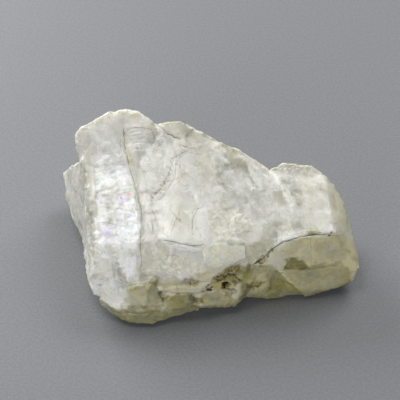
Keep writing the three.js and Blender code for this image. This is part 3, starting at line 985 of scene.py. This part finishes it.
def stone_material():
    shader = Shader("petalite")
    spots = shader.node("TexCoord").outputs["Object"]
    bent = shader.warped(spots, 0.35, 1.4)
    middling = shader.noise(spots, 2.4, 4.0, 0.6)
    look = stone_colour(shader, spots, bent, middling)
    look = crack_colour(shader, spots, look)
    look = stain_colour(shader, spots, look)
    look = painted_iridescence_colour(shader, spots, look)

    blocks = shader.mosaic(bent, (1.6, 2.4, 1.2), 3.0)
    gloss = shader.ramp(blocks, 0.1, 0.9, 0.28, 0.50)
    gloss = shader.plus(gloss, shader.ramp(middling, 0.35, 0.7, -0.04, 0.10))
    gloss = shader.minus(gloss, shader.times(shader.share("pearl"), 0.08))
    gloss = shader.plus(gloss, shader.times(shader.share("stain"), 0.25))

    surface = shader.node("BsdfPrincipled", {
        "Base Color": look, "Roughness": gloss, "Normal": stone_bump(shader, spots, bent), "IOR": 1.51,
        "Subsurface Weight": 1.0, "Subsurface Radius": (1.0, 0.94, 0.72), "Subsurface Scale": 0.0024,
        "Specular IOR Level": 0.45, "Coat Weight": 0.25, "Coat Roughness": 0.18, "Coat IOR": 1.5,
    })
    output = shader.node("OutputMaterial")
    shader.put(output.inputs["Surface"], surface.outputs["BSDF"])
    return shader.material


def stone_colour(shader, spots, bent, middling):
    """Milky stone, with clearer, whiter and warmer places, and the fine patchwork of its cleavage blocks.
    Some of the clearer, whiter and warmer places are painted shade and painted highlights.
    """
    big, small = shader.mosaic(bent, (2.6, 4.0, 2.2)), shader.mosaic(bent, (1.0, 1.6, 0.9), 5.0)
    fine = shader.noise(spots, 0.9, 3.0, 0.6)
    texture = shader.plus(shader.times(big, 0.45), shader.times(small, 0.35))
    texture = shader.plus(texture, shader.ramp(fine, 0.3, 0.7, 0.0, 0.2))
    # The grey share gives clearer stone and also painted shade, the white share gives whiter stone and also
    # painted highlights, and the warm share gives warmer stone and also painted shade low on the front.
    clear = shader.plus(shader.share("grey"), shader.ramp(texture, 0.25, 0.85, -0.05, 0.12))
    white = shader.plus(shader.share("white"), shader.ramp(texture, 0.15, 0.65, 0.14, -0.10))
    warm = shader.times(shader.share("warm"), shader.ramp(middling, 0.3, 0.7, 0.75, 1.25))
    look = shader.blend(shader.ramp(middling, 0.35, 0.65), colour(220, 220, 213), colour(226, 223, 214))
    look = shader.blend(clear, look, colour(146, 147, 134))
    look = shader.blend(white, look, colour(243, 244, 243))
    look = shader.blend(warm, look, colour(249, 240, 168), "MULTIPLY")

    flecks = shader.noise(spots, 0.55, 2.0, 0.5)
    flecks = shader.times(shader.ramp(flecks, 0.60, 0.68), shader.ramp(middling, 0.46, 0.60))
    milky = shader.ramp(shader.share("warm"), 0.10, 0.35, 1.0, 0.15)
    milky = shader.times(milky, shader.ramp(shader.share("pearl"), 0.0, 1.0, 1.0, 0.4))
    flecks = shader.times(shader.times(flecks, 0.45), milky)
    look = shader.blend(flecks, look, colour(250, 249, 246))
    speckle = shader.ramp(shader.noise(spots, 0.7, 3.0), 0.42, 0.62, 0.0, 0.6)
    look = shader.blend(shader.times(speckle, shader.share("rough")), look, colour(150, 146, 128))
    where = shader.times(shader.ramp(shader.noise(spots, 1.6, 2.0), 0.50, 0.60), milky)
    veils = shader.times(shader.seams(bent, (2.1, 3.0, 1.8), 0.045), where)
    look = shader.blend(shader.times(veils, 0.45), look, colour(248, 247, 242))
    where = shader.ramp(shader.noise(spots, 2.5, 2.0), 0.52, 0.62)
    dark = shader.times(shader.seams(bent, (3.2, 4.6, 2.6), 0.022, 2.0), where)
    look = shader.blend(shader.times(dark, 0.55), look, colour(126, 122, 100))
    where = shader.ramp(shader.noise(spots, 3.5, 2.0), 0.50, 0.62)
    hair = shader.times(shader.seams(bent, (1.5, 2.3, 1.3), 0.022, 6.0), where)
    return shader.blend(shader.times(hair, 0.30), look, colour(136, 132, 112))


def crack_colour(shader, spots, look):
    """Fine dark lines where the share called crack_offset passes through one half."""
    away = shader.math("ABSOLUTE", shader.minus(shader.share("crack_offset"), 0.5))
    width = shader.ramp(shader.noise(spots, 1.5, 3.0, 0.7), 0.35, 0.65, 0.018, 0.060)
    line = shader.ramp(shader.math("DIVIDE", away, width), 0.3, 1.1, 1.0, 0.0)
    line = shader.times(line, shader.share("crack_shade"))
    haze = shader.times(shader.ramp(away, 0.0, 0.22, 1.0, 0.0), shader.share("crack_shade"))
    look = shader.blend(shader.times(haze, 0.12), look, colour(150, 142, 104))
    return shader.blend(shader.times(line, 0.85), look, colour(84, 76, 50))


def stain_colour(shader, spots, look):
    """Yellow-olive staining, with brown specks that run together where it is strong."""
    stain = shader.share("stain")
    haze = shader.times(stain, shader.ramp(shader.noise(spots, 1.6, 3.0), 0.35, 0.65, 0.5, 1.2))
    look = shader.blend(shader.ramp(haze, 0.0, 0.6, 0.0, 0.75), look, colour(144, 131, 72))
    fine = shader.noise(spots, 0.55, 4.0, 0.75)
    specks = shader.plus(shader.times(stain, 0.45), shader.times(fine, 0.9))
    look = shader.blend(shader.ramp(specks, 0.66, 0.80, 0.0, 0.85), look, colour(92, 82, 42))
    return shader.blend(shader.ramp(specks, 0.80, 0.98, 0.0, 0.95), look, colour(42, 33, 12))


def painted_iridescence_colour(shader, spots, look):
    """Painted iridescence: the soft spectrum colours that thin cracks give under the pearly face, painted
    into the colour.
    """
    hue = shader.node("ValToRGB", {"Fac": shader.noise(spots, 1.7, 1.0)})
    stops = hue.color_ramp.elements
    stops[0].position = 0.36
    stops[0].color = colour(150, 225, 205)
    stops[1].position = 0.64
    stops[1].color = colour(176, 160, 245)
    for place, tint in ((0.45, (240, 235, 150)), (0.54, (250, 160, 225))):
        stops.new(place).color = colour(*tint)
    return shader.blend(shader.times(shader.share("painted_iridescence"), 0.28), look, hue.outputs["Color"])


def stone_bump(shader, spots, bent):
    """Relief too fine for the mesh: little steps between blocks, seams and grain, most where it is rough."""
    steps = shader.mosaic(bent, (0.9, 1.4, 0.8), 7.0)
    grain = shader.noise(spots, 0.35, 3.0, 0.6)
    height = shader.plus(shader.times(steps, 0.4), shader.times(grain, 0.5))
    height = shader.times(height, shader.ramp(shader.share("broken"), 0.0, 1.0, 0.30, 1.0))
    seams = shader.times(shader.seams(bent, (1.9, 2.8, 1.7), 0.03), 0.2)
    height = shader.minus(height, seams)
    return shader.node("Bump", {"Strength": 0.7, "Distance": 0.00009, "Height": height}).outputs["Normal"]


# ---------------------------------------------------------------- studio

FLOOR_WIDTH = 0.9  # metres
LAMP_TARGET = (0, 0, 8)  # millimetres
LAMPS = [  # name, place and width in millimetres, power in watts
    ("over", (-58, 28, 350), 100, 0.25),
    ("far_behind", (0, 300, 300), 250, 0.15),
    ("behind_right", (150, 200, 300), 220, 0.68),
    ("behind_left", (-250, 300, 180), 300, 1.9),
    ("left", (-300, 60, 160), 200, 0.12),
    ("fill_left", (-170, -300, 110), 250, 0.6),
    ("fill_right", (220, -260, 110), 250, 0.12),
]


def floor_material():
    shader = Shader("studio_floor")
    spots = shader.node("TexCoord").outputs["Object"]
    speckle = shader.noise(spots, 0.5, 2.0)
    look = shader.blend(shader.ramp(speckle, 0.35, 0.65), colour(119, 120, 123), colour(129, 130, 133))
    bump = shader.node("Bump", {"Strength": 0.25, "Distance": 0.00005, "Height": speckle}).outputs["Normal"]
    surface = shader.node("BsdfPrincipled", {
        "Base Color": look, "Roughness": 0.55, "Normal": bump, "Specular IOR Level": 0.4,
    })
    output = shader.node("OutputMaterial")
    shader.put(output.inputs["Surface"], surface.outputs["BSDF"])
    return shader.material


def aimed(name, data, place, target):
    """Puts a lamp or camera at a place (mm), looking at a target (mm)."""
    made = bpy.data.objects.new(name, data)
    bpy.context.scene.collection.objects.link(made)
    made.location = Vector(place) * MM
    made.rotation_mode = "QUATERNION"
    made.rotation_quaternion = (Vector(target) - Vector(place)).to_track_quat("-Z", "Y")
    return made


def soft_light(name, place, target, width, power):
    lamp = bpy.data.lights.new(name, "AREA")
    lamp.shape = "DISK"
    lamp.size = width * MM
    lamp.energy = power
    return aimed(name, lamp, place, target)


def studio_world():
    """A faint cool light from all around. The camera sees a plain grey wall in its place."""
    world = bpy.data.worlds.new("studio")
    world.use_nodes = True
    tree = world.node_tree
    light = tree.nodes["Background"]
    light.inputs["Color"].default_value = (0.9, 0.94, 1.0, 1)
    light.inputs["Strength"].default_value = 0.06
    wall = tree.nodes.new("ShaderNodeBackground")
    wall.inputs["Color"].default_value = colour(116, 117, 120)
    seen = tree.nodes.new("ShaderNodeLightPath").outputs["Is Camera Ray"]
    mix = tree.nodes.new("ShaderNodeMixShader")
    tree.links.new(seen, mix.inputs[0])
    tree.links.new(light.outputs[0], mix.inputs[1])
    tree.links.new(wall.outputs[0], mix.inputs[2])
    tree.links.new(mix.outputs[0], tree.nodes["World Output"].inputs["Surface"])
    return world


def build_studio():
    floor_mesh = bpy.data.meshes.new("floor")
    half = FLOOR_WIDTH / 2
    corners = [(-half, -half, 0), (half, -half, 0), (half, half, 0), (-half, half, 0)]
    floor_mesh.from_pydata(corners, [], [(0, 1, 2, 3)])
    floor = bpy.data.objects.new("floor", floor_mesh)
    bpy.context.scene.collection.objects.link(floor)
    floor_mesh.materials.append(floor_material())
    bpy.context.scene.world = studio_world()
    for name, place, width, power in LAMPS:
        soft_light(name, place, LAMP_TARGET, width, power)


def build_camera():
    """Looks down on the front from 45 degrees, from far enough away for a long lens."""
    elevation, distance, span = math.radians(45), 330.0, 83.0
    target = Vector((-1.7, 0.75, 15.3))
    back = Vector((0, -math.cos(elevation), math.sin(elevation)))
    data = bpy.data.cameras.new("camera")
    data.sensor_width = 36
    data.lens = data.sensor_width * distance / span
    data.clip_start = 0.01
    data.clip_end = 20
    bpy.context.scene.camera = aimed("camera", data, target + back * distance, target)


build_camera()
build_studio()
petalite = build_stone()
petalite.data.materials.clear()
petalite.data.materials.append(stone_material())
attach(petalite, "root")
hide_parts(NODE)
bpy.context.scene.view_settings.view_transform = "Standard"
